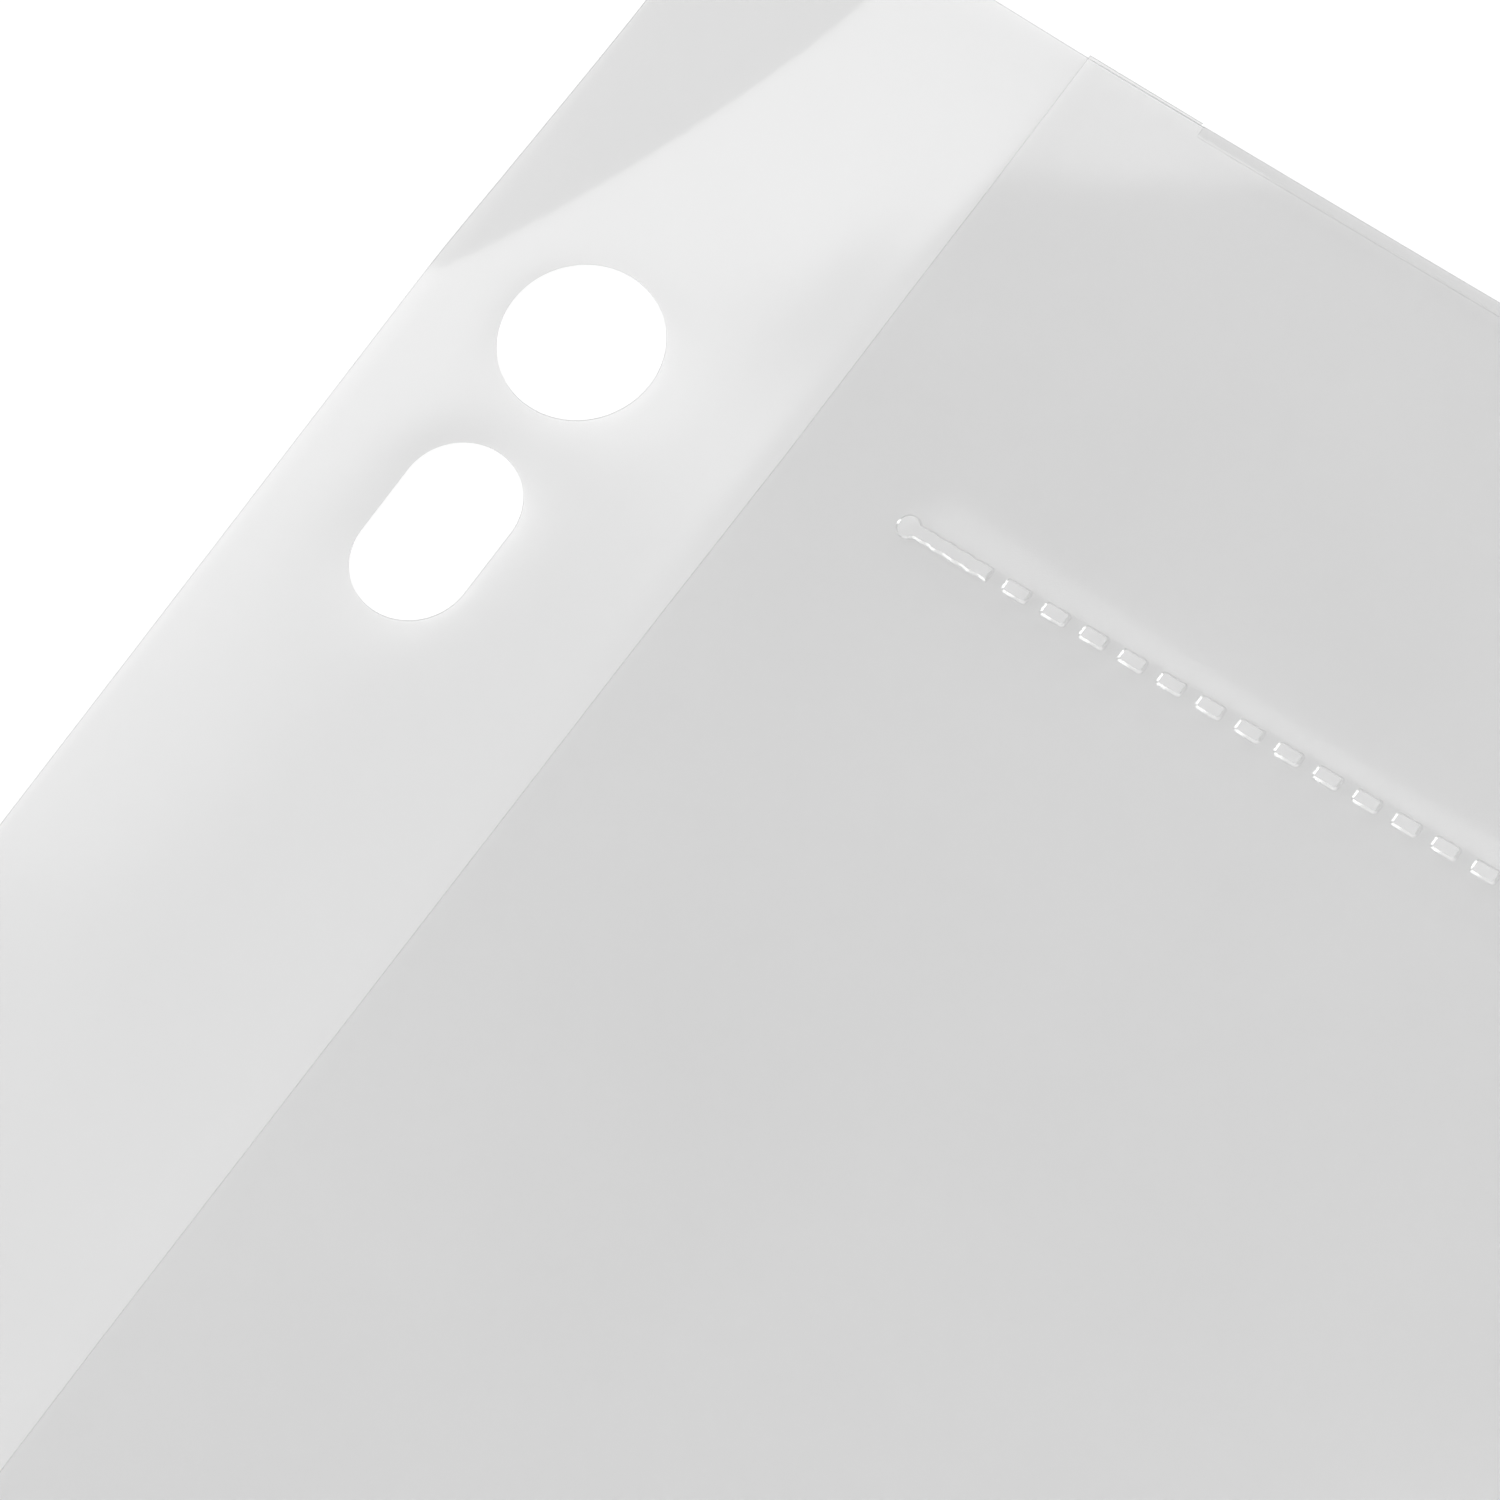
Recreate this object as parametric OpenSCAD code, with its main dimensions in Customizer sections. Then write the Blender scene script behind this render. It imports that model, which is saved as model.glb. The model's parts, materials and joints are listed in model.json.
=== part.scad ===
// Clear film page for strips of roll-film negatives, lying flat.
// A back film with a punched binding strip, a shorter front film, and dashed heat-seal welds
// that part the space between them into pockets. The pockets open toward the binding strip.
// X runs from the binding edge to the outer edge, Y up to the top edge, Z up from the table.

/* [Page] */
// Width of the page, from the binding edge to the outer edge
page_w = 235; // [120:1:300]
// Height of the header band between the top edge and the first weld
header_h = 25.4; // [10:0.1:40]
// Height of one pocket, from weld to weld
pocket_h = 66.675; // [60:0.025:75]
// Number of pockets
pocket_count = 4; // [3:1:5]

/* [Film] */
// Thickness of the back film
back_t = 0.12; // [0.05:0.01:0.25]
// Thickness of the front film
front_t = 0.09; // [0.05:0.01:0.25]
// Space between the two films, where a negative slides in
pocket_gap = 0.15; // [0.1:0.01:0.4]

/* [Binding strip] */
// Width of the single-layer strip beside the pocket mouths
strip_w = 20.4; // [16:0.1:30]
// Distance from the binding edge to the line of hole centres
hole_inset = 8.7; // [7:0.1:9]
// Diameter of the round holes of the four-ring pattern
hole_d = 8.35; // [5:0.05:10]
// Spacing of the four-ring pattern
four_ring_step = 80; // [78:0.5:88]
// Width of the slots of the three-ring pattern
slot_w = 6.3; // [5:0.1:7.5]
// End-to-end length of the slots
slot_l = 10.1; // [8:0.1:12]
// Spacing of the three-ring pattern
three_ring_step = 108; // [106:0.5:110]
// Least film left between a hole and the page's edge
hole_edge = 3; // [2:0.5:6]

/* [Pocket mouth] */
// Width of the free lip of the front film
lip_w = 6.4; // [4:0.1:12]
// Distance of the lip's edge from the line where the strip folds
lip_setback = 0.3; // [0.25:0.05:1]
// Width of the slit that stands for each fold line
fold_slit = 0.3; // [0.25:0.05:0.5]

/* [Welds] */
// Plain film between the lip's fold line and the welds
weld_land = 0.4; // [0.3:0.1:2]
// Diameter of the round tack at the mouth end of each weld line
tack_d = 1.3; // [0.9:0.1:3]
// Length of the solid bar that runs on from the tack's centre
bar_l = 4.9; // [2:0.1:10]
// Width of the bar and of the dashes
weld_w = 0.82; // [0.5:0.02:0.88]
// Length of one dash
dash_l = 1.5; // [1:0.1:4]
// Plain film between two dashes
dash_gap = 0.82; // [0.5:0.02:3]
// Depth of a weld's face below the front film's face
weld_sink = 0.03; // [0.01:0.01:0.04]
// Plain film between the last dash and the outer seam
dash_end = 1.2; // [0.5:0.1:5]
// Width of the bead that closes an outside edge
seam_w = 0.6; // [0.5:0.1:2]

/* [Hidden] */
$fn = 48;
page_h = header_h + pocket_count * pocket_h;
front_z = back_t + pocket_gap;
page_t = front_z + front_t;
weld_t = pocket_gap + front_t - weld_sink;

binding_x = -page_w / 2;
strip_fold_x = binding_x + strip_w;
lip_edge_x = strip_fold_x + lip_setback;
lip_fold_x = lip_edge_x + lip_w;
seam_start_x = lip_fold_x + weld_land;
seam_x = page_w / 2 - seam_w;
tack_x = seam_start_x + tack_d / 2;
dash_x = tack_x + bar_l + dash_gap;
dash_step = dash_l + dash_gap;
dash_count = floor((seam_x - dash_end - dash_x + dash_gap) / dash_step);

hole_x = binding_x + hole_inset;
round_ys = [for (k = [-1.5 : 1.5]) if (on_page(k * four_ring_step, hole_d)) k * four_ring_step];
slot_ys = [for (k = [-1 : 1]) if (on_page(k * three_ring_step, slot_l)) k * three_ring_step];
last_weld = pocket_count - 1;

film_colour = [0.86, 0.86, 0.86, 0.6];
front_colour = [0.80, 0.80, 0.81, 0.6];
weld_colour = [0.94, 0.94, 0.95, 0.9];

// A hole of this length along the binding edge is punched only where the page has room for it
function on_page(y, length) = abs(y) + length / 2 + hole_edge < page_h / 2;

// Height of weld line i: 0 closes the header, the rest part the pockets
function weld_y(i) = page_h / 2 - header_h - i * pocket_h;

// Rectangle from one X to another, centred on the page's height
module band(from_x, to_x, height) {
    translate([from_x, -height / 2])
        square([to_x - from_x, height]);
}

// Outline of a film from a fold line to the beads that close its outside edges
module film_outline(from_x) {
    band(from_x, seam_start_x, page_h);
    band(from_x, seam_x, page_h - 2 * seam_w);
}

module slot_outline() {
    straight = slot_l - slot_w;
    square([slot_w, straight], center = true);
    for (side = [-1, 1])
        translate([0, side * straight / 2])
            circle(d = slot_w);
}

// Round tack and solid bar at the mouth end of weld line i
module tack_outline(i) {
    translate([tack_x, weld_y(i)]) {
        circle(d = tack_d);
        translate([0, -weld_w / 2])
            square([bar_l, weld_w]);
    }
}

// One dash, running on from the origin
module dash_outline() {
    translate([0, -weld_w / 2])
        square([dash_l, weld_w]);
}

module dashes_outline(i) {
    for (k = [0 : dash_count - 1])
        translate([dash_x + k * dash_step, weld_y(i)])
            dash_outline();
}

module binding_strip() {
    color(film_colour)
    linear_extrude(back_t)
    difference() {
        band(binding_x, strip_fold_x - fold_slit / 2, page_h);
        for (y = round_ys)
            translate([hole_x, y])
                circle(d = hole_d);
        for (y = slot_ys)
            translate([hole_x, y])
                slot_outline();
    }
}

module back_sheet() {
    color(film_colour)
    linear_extrude(back_t)
        film_outline(strip_fold_x + fold_slit / 2);
}

// The front film has a window at each weld, which the melted film fills
module front_sheet() {
    color(front_colour)
    translate([0, 0, front_z])
    linear_extrude(front_t)
    difference() {
        film_outline(lip_fold_x + fold_slit / 2);
        for (i = [0 : last_weld]) {
            tack_outline(i);
            dashes_outline(i);
        }
    }
}

module mouth_lip() {
    color(front_colour)
    translate([0, 0, front_z])
    linear_extrude(front_t)
        band(lip_edge_x, lip_fold_x - fold_slit / 2, page_h);
}

// Bead of melted film along an outside edge, from the origin along Y, round on its +X side
module seam_bead(length) {
    flat_w = seam_w - page_t / 2;
    translate([0, length, 0])
    rotate([90, 0, 0])
    linear_extrude(length) {
        square([flat_w, page_t]);
        translate([flat_w, page_t / 2])
            circle(d = page_t);
    }
}

module top_seam() {
    color(weld_colour)
    translate([seam_x, page_h / 2 - seam_w, 0])
    rotate([0, 0, 90])
        seam_bead(seam_x - seam_start_x);
}

module bottom_seam() {
    color(weld_colour)
    mirror([0, 1, 0])
        top_seam();
}

module outer_seam() {
    color(weld_colour)
    translate([seam_x, -page_h / 2, 0])
        seam_bead(page_h);
}

// Tack of weld line i, standing on the back film inside its window
module weld_tack(i) {
    color(weld_colour)
    translate([0, 0, back_t])
    linear_extrude(weld_t)
        tack_outline(i);
}

// Dashes of weld line i, standing on the back film inside their windows
module weld_dashes(i) {
    color(weld_colour)
    translate([0, 0, back_t])
    linear_extrude(weld_t)
        dashes_outline(i);
}

binding_strip();
back_sheet();
front_sheet();
mouth_lip();
top_seam();
bottom_seam();
outer_seam();
weld_tack(0);  // header_tack
weld_dashes(0);  // header_weld
for (i = [1 : last_weld]) weld_tack(i);
for (i = [1 : last_weld]) weld_dashes(i);
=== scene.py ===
import json
import math

import bpy
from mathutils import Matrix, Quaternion, Vector


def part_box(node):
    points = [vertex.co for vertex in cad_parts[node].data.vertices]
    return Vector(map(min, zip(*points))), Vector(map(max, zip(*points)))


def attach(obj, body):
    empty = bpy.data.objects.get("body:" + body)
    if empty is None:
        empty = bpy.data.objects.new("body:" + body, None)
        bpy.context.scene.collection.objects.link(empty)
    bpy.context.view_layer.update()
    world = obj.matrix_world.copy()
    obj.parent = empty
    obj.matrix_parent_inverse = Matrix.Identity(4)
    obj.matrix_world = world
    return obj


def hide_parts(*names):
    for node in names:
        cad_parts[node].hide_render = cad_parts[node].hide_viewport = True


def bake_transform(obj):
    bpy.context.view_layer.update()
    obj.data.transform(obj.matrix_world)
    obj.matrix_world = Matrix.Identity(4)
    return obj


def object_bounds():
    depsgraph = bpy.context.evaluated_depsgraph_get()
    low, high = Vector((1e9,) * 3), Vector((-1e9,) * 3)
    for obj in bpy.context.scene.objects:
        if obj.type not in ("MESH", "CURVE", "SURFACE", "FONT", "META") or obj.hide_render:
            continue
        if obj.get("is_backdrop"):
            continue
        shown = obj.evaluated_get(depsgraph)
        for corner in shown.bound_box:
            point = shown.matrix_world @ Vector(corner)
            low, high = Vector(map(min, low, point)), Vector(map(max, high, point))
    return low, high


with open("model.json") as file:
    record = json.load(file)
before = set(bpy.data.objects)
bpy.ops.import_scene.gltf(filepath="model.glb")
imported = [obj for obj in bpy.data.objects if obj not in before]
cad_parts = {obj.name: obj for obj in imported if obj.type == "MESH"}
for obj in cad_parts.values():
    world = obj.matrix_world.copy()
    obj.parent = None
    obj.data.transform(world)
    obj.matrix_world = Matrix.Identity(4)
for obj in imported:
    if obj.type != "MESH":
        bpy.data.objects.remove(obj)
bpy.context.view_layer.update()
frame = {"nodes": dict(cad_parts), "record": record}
mm = 0.001
hair = 0.01  # mm, less than any detail here
facesUp = 0.5  # upward share of a normal from which a face counts as a top

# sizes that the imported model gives, in metres
stripLow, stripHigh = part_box("binding_strip")
backLow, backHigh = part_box("back_sheet")
frontLow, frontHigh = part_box("front_sheet")
lipLow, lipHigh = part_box("mouth_lip")
outerLow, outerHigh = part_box("outer_seam")
bindingX, outerX = stripLow.x, outerHigh.x
bottomY, topY = stripLow.y, stripHigh.y
pageW, pageH = (outerX - bindingX) / mm, (topY - bottomY) / mm
backTop = backHigh.z
frontFilmT = frontHigh.z - frontLow.z
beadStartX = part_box("top_seam")[0].x
beadW = outerHigh.x - outerLow.x

# the header's weld line, then one between each two pockets
weldLines = [""] + [f"_{i}" for i in range(1, len(frame["nodes"])) if f"pocket_weld_{i}" in frame["nodes"]]


def nodeOfLine(line, kind):  # header_tack, pocket_weld_2 and so on
    return f"pocket_{kind}{line}" if line else f"header_{kind}"


weldYs = []
for line in weldLines:
    low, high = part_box(nodeOfLine(line, "weld"))
    weldYs.append((low.y + high.y) / 2)

# holes of the binding strip, as the record gives them
roundHoles, slotHoles = [], []
for mount in frame["record"]["mounts"]:
    x, y, _ = mount["pos_m"]
    size = mount["dims"]
    if mount["kind"] == "bore":
        roundHoles.append((x, y, size["r_mm"] * mm))
    if mount["kind"] == "bolt_pattern":
        slotR, slotLength = size["hole_r_mm"] * mm, size["slot_length_mm"] * mm
        half = size["spacing_y_mm"] * mm / 2
        slotHoles += [(x, y - half), (x, y), (x, y + half)]
slotHalf = slotLength / 2 - slotR  # half of a slot's straight side
print("frame read:", len(weldYs), "weld lines,", len(roundHoles) + len(slotHoles), "holes")


# how the page lies (mm, from the binding edge and the top edge): flat far off, with a low wave under
# its top binding corner, a slight bend along the lip, curled edges, a tip that drops past a crease,
# and a dent beside the top hole
lie = {
    "least": 0.02, "rest": 0.06, "mid": 0.25, "settleX": (80, 200), "settleY": (120, 240),
    "wave": 2.1, "halfWaveX": 120, "halfWaveY": 140, "stillX": 20, "stillY": 30,
    "waveX": (85, 160), "headX": (40, 90), "stripY": (70, 120),
    # the bend along the lip, and the binding edge
    "bend": 0.02, "climb": 0.021, "bendX": 20.2, "bendSoft": 0.25,
    "bindingCurl": 0.19, "bindingReach": 11, "bindingFade": (58, 86),
    # the lip's top corner, which lifts off the back film
    "liftSlope": 0.0235, "liftBack": 0.003, "liftX": 20.7, "liftY": 8.3, "liftDown": 0.64, "liftSoft": 0.6,
    # the tip of the strip
    "tipSlope": 0.2, "tipX": 9.3, "tipY": 26, "tipPower": 1.5, "tipSoft": 0.35,
    # the rims of the holes, and the dent
    "burr": 0.035, "burrReach": 1.5, "burrX": 24,
    "dent": -0.12, "dentX": 15, "dentY": 15.5, "dentWide": 5, "dentTall": 7,
    # the space between the films
    "gap": 0.2, "leastGap": 0.01, "pinchReach": 2.6, "pinchFlat": 0.25,
    "mouthX": (24.5, 28.5), "mouthReach": 4.7, "mouthDown": (5, 15),
    "puff": 0.05, "puffReach": 4, "puffX": (190, 230),
}
straight = 60  # so far past a crease, in units of its softness, a ramp is a plain slope


def smooth(t):
    t = min(max(t, 0.0), 1.0)
    return t * t * (3 - 2 * t)


def fade(t, span):  # 1 before the span and 0 after it
    return 1 - smooth((t - span[0]) / (span[1] - span[0]))


def ramp(t, soft):  # 0 before a crease, then a slope, with a rounded start
    return soft * math.log1p(math.exp(t / soft)) if t / soft < straight else t


def toHole(x, y):  # distance from the nearest hole's rim
    near = math.inf
    for hx, hy, r in roundHoles:
        near = min(near, math.hypot(x - hx, y - hy) - r)
    for hx, hy in slotHoles:
        along = max(0.0, abs(y - hy) - slotHalf)
        near = min(near, math.hypot(x - hx, along) - slotR)
    return max(near, 0.0)


def pastCorner(px, py):  # distance past the crease across the lip's top corner, which lifts
    past = (lie["liftX"] - px) * lie["liftDown"] + lie["liftY"] - py
    return ramp(past / math.hypot(1, lie["liftDown"]), lie["liftSoft"])


def filmRise(x, y):  # height of the back film's underside
    px, py = (x - bindingX) / mm, (topY - y) / mm  # from the binding edge and the top edge
    wave = math.sin(math.pi * (px - lie["stillX"]) / lie["halfWaveX"]) \
        * math.sin(math.pi * (py - lie["stillY"]) / lie["halfWaveY"])
    loose = fade(px, lie["settleX"]) * fade(py, lie["settleY"])
    wave *= fade(px, lie["waveX"] if py > lie["stillY"] else lie["headX"])
    wave *= fade(py, lie["settleY"] if px > lie["stillX"] else lie["stripY"])
    up = lie["mid"] * loose + lie["wave"] * wave
    up += lie["bend"] * ramp(lie["bendX"] - px, lie["bendSoft"]) * loose
    up += lie["climb"] * ramp(px - lie["bendX"], lie["bendSoft"]) * loose
    up += lie["bindingCurl"] * max(0.0, 1 - px / lie["bindingReach"]) ** 2 * fade(py, lie["bindingFade"])
    up += lie["liftBack"] * pastCorner(px, py)
    down = py / lie["tipY"]
    crease = lie["tipX"] * (1 - down ** lie["tipPower"])
    lean = lie["tipX"] * lie["tipPower"] / lie["tipY"] * down ** (lie["tipPower"] - 1)
    up -= lie["tipSlope"] * ramp((crease - px) / math.hypot(1, lean), lie["tipSoft"])
    up += lie["dent"] * math.exp(-((px - lie["dentX"]) / lie["dentWide"]) ** 2
                                 - ((py - lie["dentY"]) / lie["dentTall"]) ** 2)
    if px < lie["burrX"]:
        up += lie["burr"] * math.exp(-toHole(x, y) / mm / lie["burrReach"])
    return (lie["least"] + ramp(up, lie["rest"])) * mm  # the table holds it up


def gapAt(x, y):  # the films meet along each weld line and part away from it
    px, py = (x - bindingX) / mm, (topY - y) / mm
    near = max(0.0, min(abs(y - weldY) for weldY in weldYs) / mm - lie["pinchFlat"])
    mouth = fade(px, lie["mouthX"]) * fade(near, lie["mouthDown"])  # they part more slowly at the mouths
    reach = lie["pinchReach"] + lie["mouthReach"] * mouth
    gap = max(lie["gap"] * (1 - math.exp(-near / reach)), lie["leastGap"])
    puff = near / lie["puffReach"]  # the front film stands proud beside a weld
    gap += lie["puff"] * puff * math.exp(1 - puff) * (1 - mouth) * fade(px, lie["puffX"])
    return (gap + lie["liftSlope"] * pastCorner(px, py)) * mm


def clearSelection():
    if bpy.context.object and bpy.context.object.mode != "OBJECT":
        bpy.ops.object.mode_set(mode="OBJECT")
    bpy.ops.object.select_all(action="DESELECT")


def pickOnly(piece):
    clearSelection()
    piece.select_set(True)
    bpy.context.view_layer.objects.active = piece


def startPick(piece, kind):  # nothing selected yet, and ready to mark faces or edges
    pickOnly(piece)
    bpy.ops.object.mode_set(mode="EDIT")
    bpy.ops.mesh.select_mode(type=kind)
    bpy.ops.mesh.select_all(action="DESELECT")
    bpy.ops.object.mode_set(mode="OBJECT")


def pickFaces(piece, test):
    startPick(piece, "FACE")
    for face in piece.data.polygons:
        face.select = test(face)
    bpy.ops.object.mode_set(mode="EDIT")


def pickEdges(piece, test):
    startPick(piece, "EDGE")
    points = piece.data.vertices
    for edge in piece.data.edges:
        edge.select = test(points[edge.vertices[0]].co, points[edge.vertices[1]].co)
    bpy.ops.object.mode_set(mode="EDIT")


def applyAll(piece):
    pickOnly(piece)
    for modifier in list(piece.modifiers):
        bpy.ops.object.modifier_apply(modifier=modifier.name)


def thicken(piece, thickness):
    wall = piece.modifiers.new("thickness", "SOLIDIFY")
    wall.thickness, wall.offset = thickness, 1
    applyAll(piece)


def combine(piece, other, operation):  # the other piece is used up
    change = piece.modifiers.new("combined", "BOOLEAN")
    change.operation, change.solver, change.object = operation, "EXACT", other
    applyAll(piece)
    bpy.data.objects.remove(other)


def settle(piece):  # place and size go into the mesh
    pickOnly(piece)
    bpy.ops.object.transform_apply(location=True, rotation=True, scale=True)


def rename(piece, name):
    piece.name = piece.data.name = name
    return piece


def copyOf(piece, name):
    made = piece.copy()
    made.data = piece.data.copy()
    bpy.context.collection.objects.link(made)
    return rename(made, name)


def stops(zones):  # grid lines in mm, closer where the film bends
    places = [zones[0][0]]
    for first, end, step in zones:
        count = max(1, round((end - first) / step))
        places += [first + (end - first) * (k + 1) / count for k in range(count)]
    return places


def flatGrid(name, columns, rows, thickness):
    clearSelection()
    bpy.ops.mesh.primitive_grid_add(
        x_subdivisions=len(columns) - 1, y_subdivisions=len(rows) - 1, size=1, location=(0, 0, 0))
    film = rename(bpy.context.object, name)
    for v in film.data.vertices:
        i = round((v.co.x + 0.5) * (len(columns) - 1))
        j = round((0.5 - v.co.y) * (len(rows) - 1))
        v.co = (bindingX + columns[i] * mm, topY - rows[j] * mm, 0)
    thicken(film, thickness)
    return film


# closed edges end against the beads, free ones run on
def stopAtBeads(film, slit=0.01, reach=3.0, least=0.001):
    hem, span = beadW + slit * mm, reach * mm

    def drawIn(distance):
        return hem + distance * (span - hem) / span if distance < span else distance

    for v in film.data.vertices:
        if v.co.x > beadStartX + least * mm:
            v.co.y = topY - drawIn(topY - v.co.y)
            v.co.y = bottomY + drawIn(v.co.y - bottomY)
            v.co.x = outerX - drawIn(outerX - v.co.x)


def shade(piece, sharpest=35):
    pickOnly(piece)
    bpy.ops.object.shade_smooth_by_angle(angle=math.radians(sharpest))


def dress(piece, finishes, choose):  # choose gives each face its finish by number
    piece.data.materials.clear()
    for finish in finishes:
        piece.data.materials.append(finish)
    for face in piece.data.polygons:
        face.material_index = choose(face)


def raiseBy(piece, height):
    for v in piece.data.vertices:
        v.co.z += height(v.co.x, v.co.y)
    piece.data.update()


# finishes: faint noises of the film (per metre), and its mirror at a slant
grain = {"cloud": 45, "cloudDetail": 2, "cloudSpan": (0.3, 0.7), "skin": 420, "skinDetail": 1, "skinDepth": 0.4}
slant = {"blend": 0.5, "power": 5, "mirror": 0.9}


def addNode(tree, kind, x, y, **settings):
    made = tree.nodes.new(kind)
    made.location = (x, y)
    for key, value in settings.items():
        setattr(made, key, value)
    return made


def emptyFinish(name):
    material = bpy.data.materials.new(name)
    material.use_nodes = True
    material.node_tree.nodes.clear()
    return material, material.node_tree


def filmFinish(name, clear, mirror, roughness, haze,
               milky=0.87, drift=0.006, peel=0.004, fainter=0.6):
    material, tree = emptyFinish(name)
    link = tree.links.new
    place = addNode(tree, "ShaderNodeTexCoord", -1200, 0)
    # thickness drift of the cast film, too faint to read as a pattern
    cloud = addNode(tree, "ShaderNodeTexNoise", -980, 220)
    cloud.inputs["Scale"].default_value = grain["cloud"]
    cloud.inputs["Detail"].default_value = grain["cloudDetail"]
    link(place.outputs["Object"], cloud.inputs["Vector"])
    tone = addNode(tree, "ShaderNodeValToRGB", -760, 220)
    tones = (clear * (1 - drift), min(clear * (1 + drift), 1.0))
    for stop, position, value in zip(tone.color_ramp.elements, grain["cloudSpan"], tones):
        stop.position = position
        stop.color = (value, value, value, 1)
    link(cloud.outputs["Fac"], tone.inputs["Fac"])
    # its shadow on the table is fainter than its own tint
    path = addNode(tree, "ShaderNodeLightPath", -980, 560)
    faint = addNode(tree, "ShaderNodeMath", -760, 560, operation="MULTIPLY")
    faint.inputs[1].default_value = fainter
    link(path.outputs["Is Shadow Ray"], faint.inputs[0])
    eased = addNode(tree, "ShaderNodeMix", -580, 400, data_type="RGBA")
    eased.inputs[7].default_value = (1, 1, 1, 1)
    link(faint.outputs["Value"], eased.inputs[0])
    link(tone.outputs["Color"], eased.inputs[6])
    through = addNode(tree, "ShaderNodeBsdfTransparent", -420, 260)
    link(eased.outputs[2], through.inputs["Color"])
    # milkiness of the plastic
    milk = addNode(tree, "ShaderNodeBsdfDiffuse", -420, 100)
    milk.inputs["Color"].default_value = (milky, milky, milky, 1)
    body = addNode(tree, "ShaderNodeMixShader", -200, 200)
    body.inputs["Fac"].default_value = haze
    link(through.outputs["BSDF"], body.inputs[1])
    link(milk.outputs["BSDF"], body.inputs[2])
    # gloss over a faint orange peel
    skin = addNode(tree, "ShaderNodeTexNoise", -980, -120)
    skin.inputs["Scale"].default_value = grain["skin"]
    skin.inputs["Detail"].default_value = grain["skinDetail"]
    link(place.outputs["Object"], skin.inputs["Vector"])
    bump = addNode(tree, "ShaderNodeBump", -640, -120)
    bump.inputs["Strength"].default_value = peel
    bump.inputs["Distance"].default_value = grain["skinDepth"] * mm
    link(skin.outputs["Fac"], bump.inputs["Height"])
    gloss = addNode(tree, "ShaderNodeBsdfGlossy", -420, -60)
    gloss.inputs["Color"].default_value = (1, 1, 1, 1)
    gloss.inputs["Roughness"].default_value = roughness
    link(bump.outputs["Normal"], gloss.inputs["Normal"])
    # mirrored share: that of both faces of the film head on, rising at a slant
    facing = addNode(tree, "ShaderNodeLayerWeight", -980, -420)
    facing.inputs["Blend"].default_value = slant["blend"]
    steep = addNode(tree, "ShaderNodeMath", -760, -420, operation="POWER")
    steep.inputs[1].default_value = slant["power"]
    link(facing.outputs["Facing"], steep.inputs[0])
    share = addNode(tree, "ShaderNodeMath", -560, -420, operation="MULTIPLY_ADD")
    share.inputs[1].default_value = slant["mirror"] - mirror
    share.inputs[2].default_value = mirror
    link(steep.outputs["Value"], share.inputs[0])
    kept = addNode(tree, "ShaderNodeMath", -380, -560, operation="SUBTRACT")
    kept.inputs[0].default_value = 1
    link(faint.outputs["Value"], kept.inputs[1])
    mirrored = addNode(tree, "ShaderNodeMath", -200, -420, operation="MULTIPLY")
    link(share.outputs["Value"], mirrored.inputs[0])
    link(kept.outputs["Value"], mirrored.inputs[1])
    whole = addNode(tree, "ShaderNodeMixShader", 20, 60)
    link(mirrored.outputs["Value"], whole.inputs["Fac"])
    link(body.outputs["Shader"], whole.inputs[1])
    link(gloss.outputs["BSDF"], whole.inputs[2])
    out = addNode(tree, "ShaderNodeOutputMaterial", 240, 60)
    link(whole.outputs["Shader"], out.inputs["Surface"])
    return material


def plainClear(name):  # the underside adds nothing: the top face counts for both
    material, tree = emptyFinish(name)
    through = addNode(tree, "ShaderNodeBsdfTransparent", -200, 0)
    out = addNode(tree, "ShaderNodeOutputMaterial", 20, 0)
    tree.links.new(through.outputs["BSDF"], out.inputs["Surface"])
    return material


backFinish = filmFinish("clearBackFilm", clear=0.775, mirror=0.084, roughness=0.1, haze=0.006)
frontFinish = filmFinish("clearFrontFilm", clear=0.965, mirror=0.076, roughness=0.1, haze=0.004)
underFinish = plainClear("filmUnderside")
# the cut edges are tinted darker than the film: painted shade, standing in for the dark line that refraction
# gives at a clear film's edge
paintedEdgeShadeFinish = filmFinish("cutFilmEdgePaintedShade", clear=0.8, mirror=0.05, roughness=0.3, haze=0.03)
# the open ends of the lip are darker still: painted shadow of the gap between the two films
paintedGapShadowFinish = filmFinish("openFilmEndPaintedShadow", clear=0.6, mirror=0.05, roughness=0.3, haze=0.03)
padFinish = filmFinish("fusedPad", clear=1.0, mirror=0.07, roughness=0.12, haze=0.32, milky=0.98, peel=0.01)
padRimFinish = filmFinish("fusedPadRim", clear=1.0, mirror=0.105, roughness=0.1, haze=0.12, milky=1.0)
beadFinish = filmFinish("fusedBead", clear=0.738, mirror=0.12, roughness=0.12, haze=0.008)
print("finishes made")


# back film: one sheet, with the punched binding strip; its grid is closer where it bends (mm)
backFilm = {
    "stripTo": 16, "stripColumn": 0.6, "bendColumn": 0.5,
    "cornerTo": 64, "cornerColumn": 1.2, "column": 3.0,
    "rows": [(0, 0.15, 0.15), (0.15, 30.15, 0.5), (30.15, 64, 1.0)], "row": 3.0,
    "weldRow": 0.5, "weldReach": 2.25,
    "rimSteps": 96, "punchDepth": 4.0, "foldReach": 4.0,
}
beadStart = (beadStartX - bindingX) / mm
stripTo, cornerTo = backFilm["stripTo"], backFilm["cornerTo"]
afterBead = [  # a sliver of a column, where the film's end steps back from the bead
    (beadStart, beadStart + hair, hair),
    (beadStart + hair, cornerTo, backFilm["cornerColumn"]),
    (cornerTo, pageW, backFilm["column"]),
]
beforeBead = [(0, stripTo, backFilm["stripColumn"]), (stripTo, beadStart, backFilm["bendColumn"])]
columns = stops(beforeBead + afterBead)
rowZones = list(backFilm["rows"])
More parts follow.
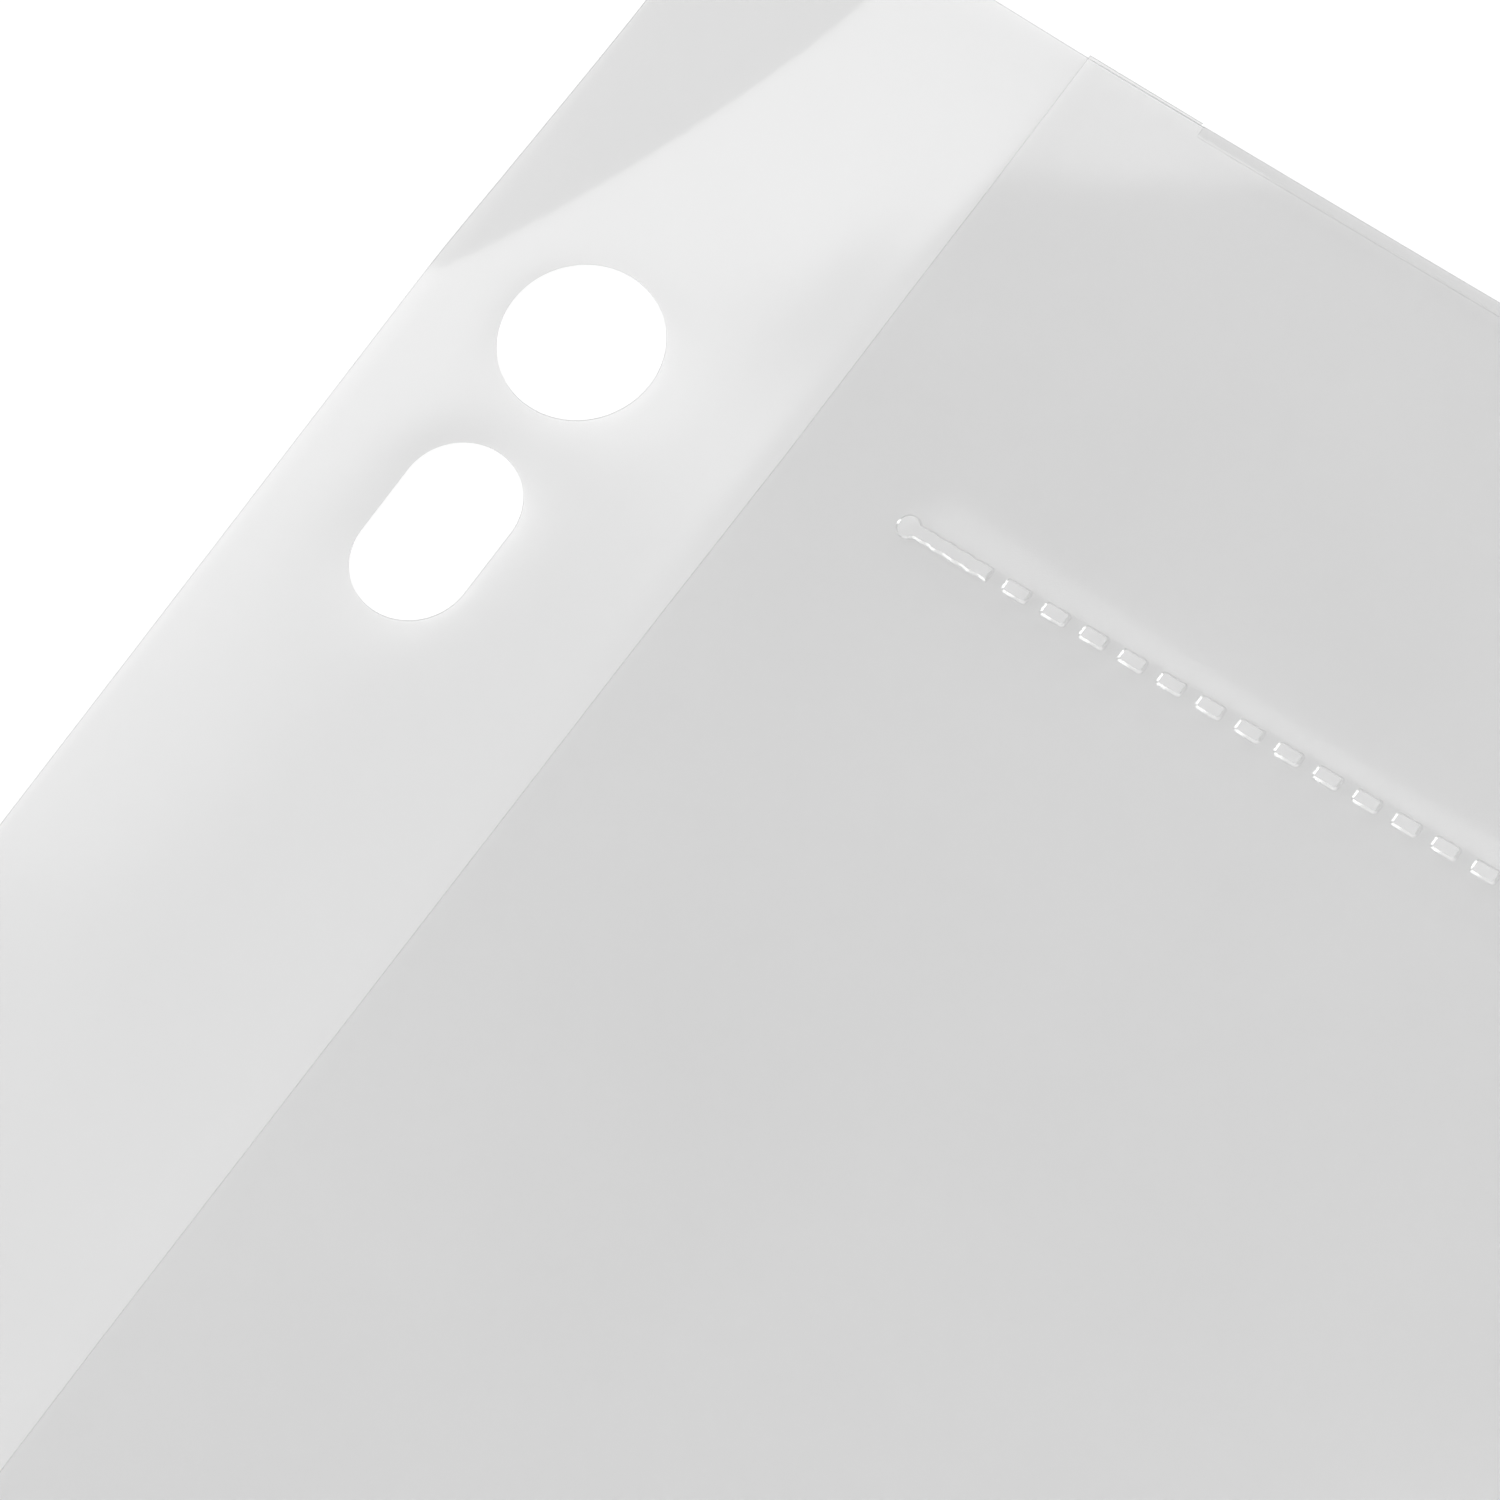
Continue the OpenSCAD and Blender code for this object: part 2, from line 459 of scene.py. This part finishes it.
for weldY in weldYs[1:]:  # close rows across each further weld line
    first, end = ((topY - weldY) / mm + side * backFilm["weldReach"] for side in (-1, 1))
    rowZones += [(rowZones[-1][1], first, backFilm["row"]), (first, end, backFilm["weldRow"])]
rows = stops(rowZones + [(rowZones[-1][1], pageH, backFilm["row"])])
back = flatGrid("backFilm", columns, rows, backTop)
stopAtBeads(back)

clearSelection()
punches = []
steps, depth = backFilm["rimSteps"], backFilm["punchDepth"] * mm
for x, y, r in roundHoles:
    bpy.ops.mesh.primitive_cylinder_add(vertices=steps, radius=r, depth=depth, location=(x, y, 0))
    punches.append(bpy.context.object)
for x, y in slotHoles:
    bpy.ops.mesh.primitive_cylinder_add(
        vertices=steps, radius=slotR, depth=depth, location=(0, 0, 0), rotation=(0, 0, math.pi / steps))
    settle(bpy.context.object)
    for v in bpy.context.object.data.vertices:  # pull the two half rounds apart
        v.co.y += slotHalf if v.co.y > 0 else -slotHalf
    bpy.context.object.location = (x, y, 0)
    punches.append(bpy.context.object)
clearSelection()
for punch in punches:
    punch.select_set(True)
bpy.context.view_layer.objects.active = punches[0]
bpy.ops.object.join()
punch = bpy.context.object
settle(punch)
combine(back, punch, "DIFFERENCE")


# faces 1 and 3 take the darker finishes: painted shade along the cut edges, painted shadow of the gap at the
# lip's open ends
def filmFace(face):  # 0 top, 1 cut edge, 2 underside and the ends against the beads, 3 open ends of the lip
    if face.normal.z > facesUp:
        return 0
    if face.normal.z < -facesUp or face.center.x > beadStartX:
        return 2
    acrossPage = abs(face.normal.y) > abs(face.normal.x)
    return 3 if acrossPage and face.center.x > lipLow.x else 1


dress(back, (backFinish, paintedEdgeShadeFinish, underFinish, paintedGapShadowFinish), filmFace)
raiseBy(back, filmRise)
shade(back)
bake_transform(back)
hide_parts("back_sheet", "binding_strip")
print("back film:", len(back.data.polygons), "faces")


# front film: shorter, so that the pockets open toward the strip
frontFilm = {"lipColumn": 0.5, "paintedShadowEnd": 0.1, "liftStart": 0.3, "liftReach": 3.0}
lipEdge = (lipLow.x - bindingX) / mm
columns = stops([(lipEdge, beadStart, frontFilm["lipColumn"])] + afterBead)
front = flatGrid("frontFilm", columns, rows, frontFilmT)
stopAtBeads(front)


# the top faces at the lip's top end take the dark cut-edge finish: painted shadow of the gap between the films
def frontFace(face):  # the lip's top end is dark a little way in
    onEnd = face.center.y > topY - frontFilm["paintedShadowEnd"] * mm and face.center.x < beadStartX
    return 1 if onEnd and face.normal.z > facesUp else filmFace(face)


dress(front, (frontFinish, paintedEdgeShadeFinish, underFinish, paintedGapShadowFinish), frontFace)
raiseBy(front, lambda x, y: filmRise(x, y) + backTop + gapAt(x, y))
shade(front)
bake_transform(front)
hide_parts("front_sheet", "mouth_lip")
print("front film:", len(front.data.polygons), "faces")


# welds: one dash is pressed, lined up along the header, and each further row is a copy
weldLow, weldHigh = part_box("header_weld")
weld = {
    "dash": 1.5, "step": 2.32, "corner": 0.2, "cornerSteps": 3,
    "foot": 0.006,  # clear of the back film
    "slope": 0.13, "rise": 0.065, "lean": 0.065,
    "pressed": 0.96, "sharpest": 10,
}


def pressTop(piece, slope):  # a sloped edge, and a face that leans a little
    pickFaces(piece, lambda f: f.normal.z > facesUp)
    bpy.ops.mesh.inset(thickness=slope * mm, depth=weld["rise"] * mm)
    bpy.ops.object.mode_set(mode="OBJECT")
    for v in piece.data.vertices:
        if v.co.z > wallTop + hair * mm:
            v.co.z += weld["lean"] * (v.co.y - weldYs[0])


def padFace(face):  # 0 pressed face, 1 steep edge and walls, 2 underside
    if face.normal.z < -facesUp:
        return 2
    return 0 if face.normal.z > weld["pressed"] else 1


padLow = backTop + weld["foot"] * mm
wallTop = weldHigh.z - weld["rise"] * mm
clearSelection()
bpy.ops.mesh.primitive_cube_add(size=1, location=(0, 0, 0))
dash = rename(bpy.context.object, "headerWeld")
dash.scale = (weld["dash"] * mm, weldHigh.y - weldLow.y, wallTop - padLow)
dash.location = (weldLow.x + weld["dash"] * mm / 2, weldYs[0], (padLow + wallTop) / 2)
settle(dash)
pickEdges(dash, lambda a, b: abs(a.z - b.z) > hair * mm)
bpy.ops.mesh.bevel(offset=weld["corner"] * mm, segments=weld["cornerSteps"], affect="EDGES")
pressTop(dash, weld["slope"])
dress(dash, (padFinish, padRimFinish, underFinish), padFace)
print("dash:", len(dash.data.polygons), "faces")
dashCount = round((weldHigh.x - weldLow.x + (weld["step"] - weld["dash"]) * mm) / (weld["step"] * mm))
line = dash.modifiers.new("line", "ARRAY")
line.use_relative_offset, line.use_constant_offset = False, True
line.constant_offset_displace = (weld["step"] * mm, 0, 0)
line.count = dashCount
applyAll(dash)

# each line starts with a round tack that runs on into a solid bar
tackLow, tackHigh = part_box("header_tack")
tack = {
    "steps": 32, "slope": 0.12, "flat": 2, "longSide": 2, "cuts": 23,
    "ragged": 0.03, "raggedX": (1.0, 4.6), "waves": ((1.0, 6.1, 0), (0.6, 14.3, 1)),
}
tackR = (tackHigh.y - tackLow.y) / 2
barFrom = tackLow.x + tackR
clearSelection()
bpy.ops.mesh.primitive_cylinder_add(
    vertices=tack["steps"], radius=tackR, depth=wallTop - padLow,
    location=(barFrom, weldYs[0], (padLow + wallTop) / 2))
dot = rename(bpy.context.object, "headerTack")
settle(dot)
bpy.ops.mesh.primitive_cube_add(
    size=1, location=((barFrom + tackHigh.x) / 2, weldYs[0], (padLow + wallTop) / 2))
bar = bpy.context.object
bar.scale = (tackHigh.x - barFrom, weldHigh.y - weldLow.y, wallTop - padLow)
settle(bar)
combine(dot, bar, "UNION")
pickFaces(dot, lambda f: True)
bpy.ops.mesh.dissolve_limited(angle_limit=math.radians(tack["flat"]))
pickEdges(dot, lambda a, b: abs(a.x - b.x) > tack["longSide"] * mm)
bpy.ops.mesh.subdivide(number_cuts=tack["cuts"])
bpy.ops.object.mode_set(mode="OBJECT")
raggedFrom, raggedTo = tack["raggedX"]
for v in dot.data.vertices:  # the bar's sides are a little ragged
    t = (v.co.x - barFrom) / mm
    if raggedFrom < t < raggedTo:
        ripple = sum(tall * math.sin(rate * t + late) for tall, rate, late in tack["waves"])
        v.co.y += tack["ragged"] * mm * ripple
pressTop(dot, tack["slope"])
dress(dot, (padFinish, padRimFinish, underFinish), padFace)
print("tack:", len(dot.data.polygons), "faces")

weldPieces = []
for number, line in enumerate(weldLines):
    for kind, first in (("weld", dash), ("tack", dot)):
        piece = first
        if number:
            piece = copyOf(first, f"pocket{kind.capitalize()}{number}")
            for v in piece.data.vertices:
                v.co.y += weldYs[number] - weldYs[0]
        weldPieces.append((piece, nodeOfLine(line, kind)))
for piece, node in weldPieces:
    raiseBy(piece, filmRise)
    shade(piece, weld["sharpest"])
    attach(piece, "page")
    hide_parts(node)
print("weld lines:", len(weldYs), "of", dashCount, "dashes")


# beads where the two films are fused along the outside edges, flat inside and round outside
bead = {
    "step": 1.5, "flat": 0.42, "across": (0, 0.42, 0.48, 0.53, 0.57, 0.592, 0.6),
    "thinnest": 0.01, "startSlant": 0.09,
    "outside": 0.95, "inside": -0.6, "top": 0.3, "sharpest": 60,
}


def makeBead(name, node, inward):  # inward points from the outside edge into the page
    low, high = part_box(node)
    alongX = inward.y != 0
    longFrom, longTo = (low.x, high.x) if alongX else (low.y, high.y)
    count = round((longTo - longFrom) / (bead["step"] * mm))
    steps = len(bead["across"]) - 1
    clearSelection()
    bpy.ops.mesh.primitive_grid_add(x_subdivisions=count, y_subdivisions=steps, size=1, location=(0, 0, 0))
    piece = rename(bpy.context.object, name)
    for v in piece.data.vertices:
        along = longFrom + (v.co.x + 0.5) * (longTo - longFrom)
        across = bead["across"][round((v.co.y + 0.5) * steps)] / bead["across"][-1]  # 0 inside, 1 outside
        if alongX:
            inner, outer = (low.y, high.y) if inward.y < 0 else (high.y, low.y)
            v.co = (along, inner + (outer - inner) * across, low.z)
        else:
            v.co = (low.x + (high.x - low.x) * across, along, low.z)
    thicken(piece, high.z - low.z)
    pickFaces(piece, lambda f: True)
    bpy.ops.mesh.normals_make_consistent(inside=False)
    bpy.ops.object.mode_set(mode="OBJECT")
    middle, half = 0.0, (high.z - low.z) / 2
    for v in piece.data.vertices:
        middle += v.co.z / len(piece.data.vertices)
    flat = bead["flat"] * mm
    for v in piece.data.vertices:  # round off the outside, and slant the end at the mouths
        if alongX:
            edge = high.y - v.co.y if inward.y < 0 else v.co.y - low.y
        else:
            edge = high.x - v.co.x
        past = (beadW - edge - flat) / (beadW - flat)
        v.co.z = (low.z + high.z) / 2 + math.copysign(
            half * math.sqrt(max(1 - max(past, 0.0) ** 2, bead["thinnest"])), v.co.z - middle)
        if alongX and v.co.x < low.x + hair * mm and v.co.z > middle:
            v.co.x += bead["startSlant"] * mm

    def beadFace(face):  # 0 top, 1 outside edge, 2 underside, 3 side against the films
        outward = -(face.normal.x * inward.x + face.normal.y * inward.y)
        if outward > bead["outside"]:
            return 1
        if outward < bead["inside"]:
            return 3
        return 0 if face.normal.z > bead["top"] else 2

    # the outside edge takes the darker cut-edge finish: painted shade along the bead's edge
    dress(piece, (beadFinish, paintedEdgeShadeFinish, underFinish, backFinish), beadFace)
    raiseBy(piece, filmRise)
    shade(piece, bead["sharpest"])
    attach(piece, "page")
    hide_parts(node)


makeBead("topBead", "top_seam", Vector((0, -1, 0)))
makeBead("bottomBead", "bottom_seam", Vector((0, 1, 0)))
makeBead("outerBead", "outer_seam", Vector((-1, 0, 0)))
print("beads made")


# floor and light; the camera sees the floor a little brighter than it is
ground = {"size": 40, "below": 0.2, "white": 0.92, "glow": 0.32}
clearSelection()
bpy.ops.mesh.primitive_plane_add(size=ground["size"], location=(0, 0, -ground["below"] * mm))
floor = rename(bpy.context.object, "floor")
paper, tree = emptyFinish("paleFloor")
matt = addNode(tree, "ShaderNodeBsdfDiffuse", -200, 0)
white = ground["white"]
matt.inputs["Color"].default_value = (white, white, white, 1)
path = addNode(tree, "ShaderNodeLightPath", -640, -160)
seen = addNode(tree, "ShaderNodeMath", -420, -160, operation="MULTIPLY")
seen.inputs[1].default_value = ground["glow"]
tree.links.new(path.outputs["Is Camera Ray"], seen.inputs[0])
glow = addNode(tree, "ShaderNodeEmission", -200, -160)
tree.links.new(seen.outputs["Value"], glow.inputs["Strength"])
both = addNode(tree, "ShaderNodeAddShader", 20, 0)
tree.links.new(matt.outputs["BSDF"], both.inputs[0])
tree.links.new(glow.outputs["Emission"], both.inputs[1])
out = addNode(tree, "ShaderNodeOutputMaterial", 240, 0)
tree.links.new(both.outputs["Shader"], out.inputs["Surface"])
floor.data.materials.append(paper)
floor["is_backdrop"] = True

studio = {"level": 0.36, "behind": 1.0}  # light on the page, and what the camera sees past the floor
world = bpy.data.worlds.new("studio")
bpy.context.scene.world = world
world.use_nodes = True
tree = world.node_tree
tree.nodes.clear()
path = addNode(tree, "ShaderNodeLightPath", -640, 0)
level = addNode(tree, "ShaderNodeMix", -420, 0)
level.inputs[2].default_value = studio["level"]
level.inputs[3].default_value = studio["behind"]
tree.links.new(path.outputs["Is Camera Ray"], level.inputs[0])
sky = addNode(tree, "ShaderNodeBackground", -200, 0)
tree.links.new(level.outputs[0], sky.inputs["Strength"])
out = addNode(tree, "ShaderNodeOutputWorld", 20, 0)
tree.links.new(sky.outputs["Background"], out.inputs["Surface"])

# middle of the corner that the photograph shows, in mm from the binding edge and the top edge
middleOfView = {"x": 28.505, "y": 39.08}
aimX, aimY = bindingX + middleOfView["x"] * mm, topY - middleOfView["y"] * mm
aim = Vector((aimX, aimY, (lie["least"] + lie["mid"]) * mm))
# panels by the slopes of their sides as seen from the aim point: x and y run over height
overheadPanels = {
    "ceilingPanel": {"x": (-0.358, 0.45), "y": (-0.8, 0.349), "up": 4.0, "level": 1.5},
    "lowPanel": {"x": (-0.42, -0.358), "y": (-0.45, 0.25), "up": 4.0, "level": 1.0},
    "fillPanel": {"x": (-0.7, -0.3), "y": (-0.8, -0.25), "up": 4.0, "level": 4.0},
}
# small panels low down, which catch the edges of the welds
edgePanels = {
    "sidePanel": {"toward": (-0.919, 0.281, 0.276), "away": 3.2, "wide": 1.2, "tall": 1.0, "level": 6.0},
    "rimPanel": {"toward": (0.177, 0.79, 0.585), "away": 3.2, "wide": 0.8, "tall": 0.8, "level": 4.5},
}


def addPanel(name, wide, tall, level):
    lamp = bpy.data.lights.new(name, "AREA")
    lamp.shape, lamp.size, lamp.size_y = "RECTANGLE", wide, tall
    lamp.energy = level * math.pi * wide * tall
    holder = bpy.data.objects.new(name, lamp)
    bpy.context.collection.objects.link(holder)
    holder.visible_camera = False
    return holder


for name, panel in overheadPanels.items():
    (x0, x1), (y0, y1), up = panel["x"], panel["y"], panel["up"]
    overhead = addPanel(name, (x1 - x0) * up, (y1 - y0) * up, panel["level"])
    overhead.location = aim + Vector(((x0 + x1) / 2 * up, (y0 + y1) / 2 * up, up))
for name, panel in edgePanels.items():
    slanted = addPanel(name, panel["wide"], panel["tall"], panel["level"])
    toward = Vector(panel["toward"]).normalized()
    slanted.location = aim + toward * panel["away"]
    slanted.rotation_mode = "QUATERNION"
    slanted.rotation_quaternion = (-toward).to_track_quat("-Z", "Y")
print("floor and light set")


# camera: a long lens, close on the corner of the page
view = {
    "away": 802.05, "azimuth": 142.625, "elevation": 63.98, "roll": -18.02,
    "lens": 400, "sensor": 36, "layers": 24,  # films and welds lie on one another
}
lens = bpy.data.cameras.new("camera")
lens.lens, lens.sensor_width = view["lens"], view["sensor"]
camera = bpy.data.objects.new("camera", lens)
bpy.context.collection.objects.link(camera)
azimuth, elevation = math.radians(view["azimuth"]), math.radians(view["elevation"])
looking = Vector((math.cos(azimuth) * math.cos(elevation), math.sin(azimuth) * math.cos(elevation),
                  -math.sin(elevation)))
camera.location = aim - looking * view["away"] * mm
camera.rotation_mode = "QUATERNION"
roll = Quaternion((0, 0, 1), math.radians(view["roll"]))
camera.rotation_quaternion = looking.to_track_quat("-Z", "Y") @ roll
bpy.context.scene.camera = camera
bpy.context.scene.view_settings.view_transform = "Standard"
bpy.context.scene.cycles.transparent_max_bounces = view["layers"]
print("camera set")

low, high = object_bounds()
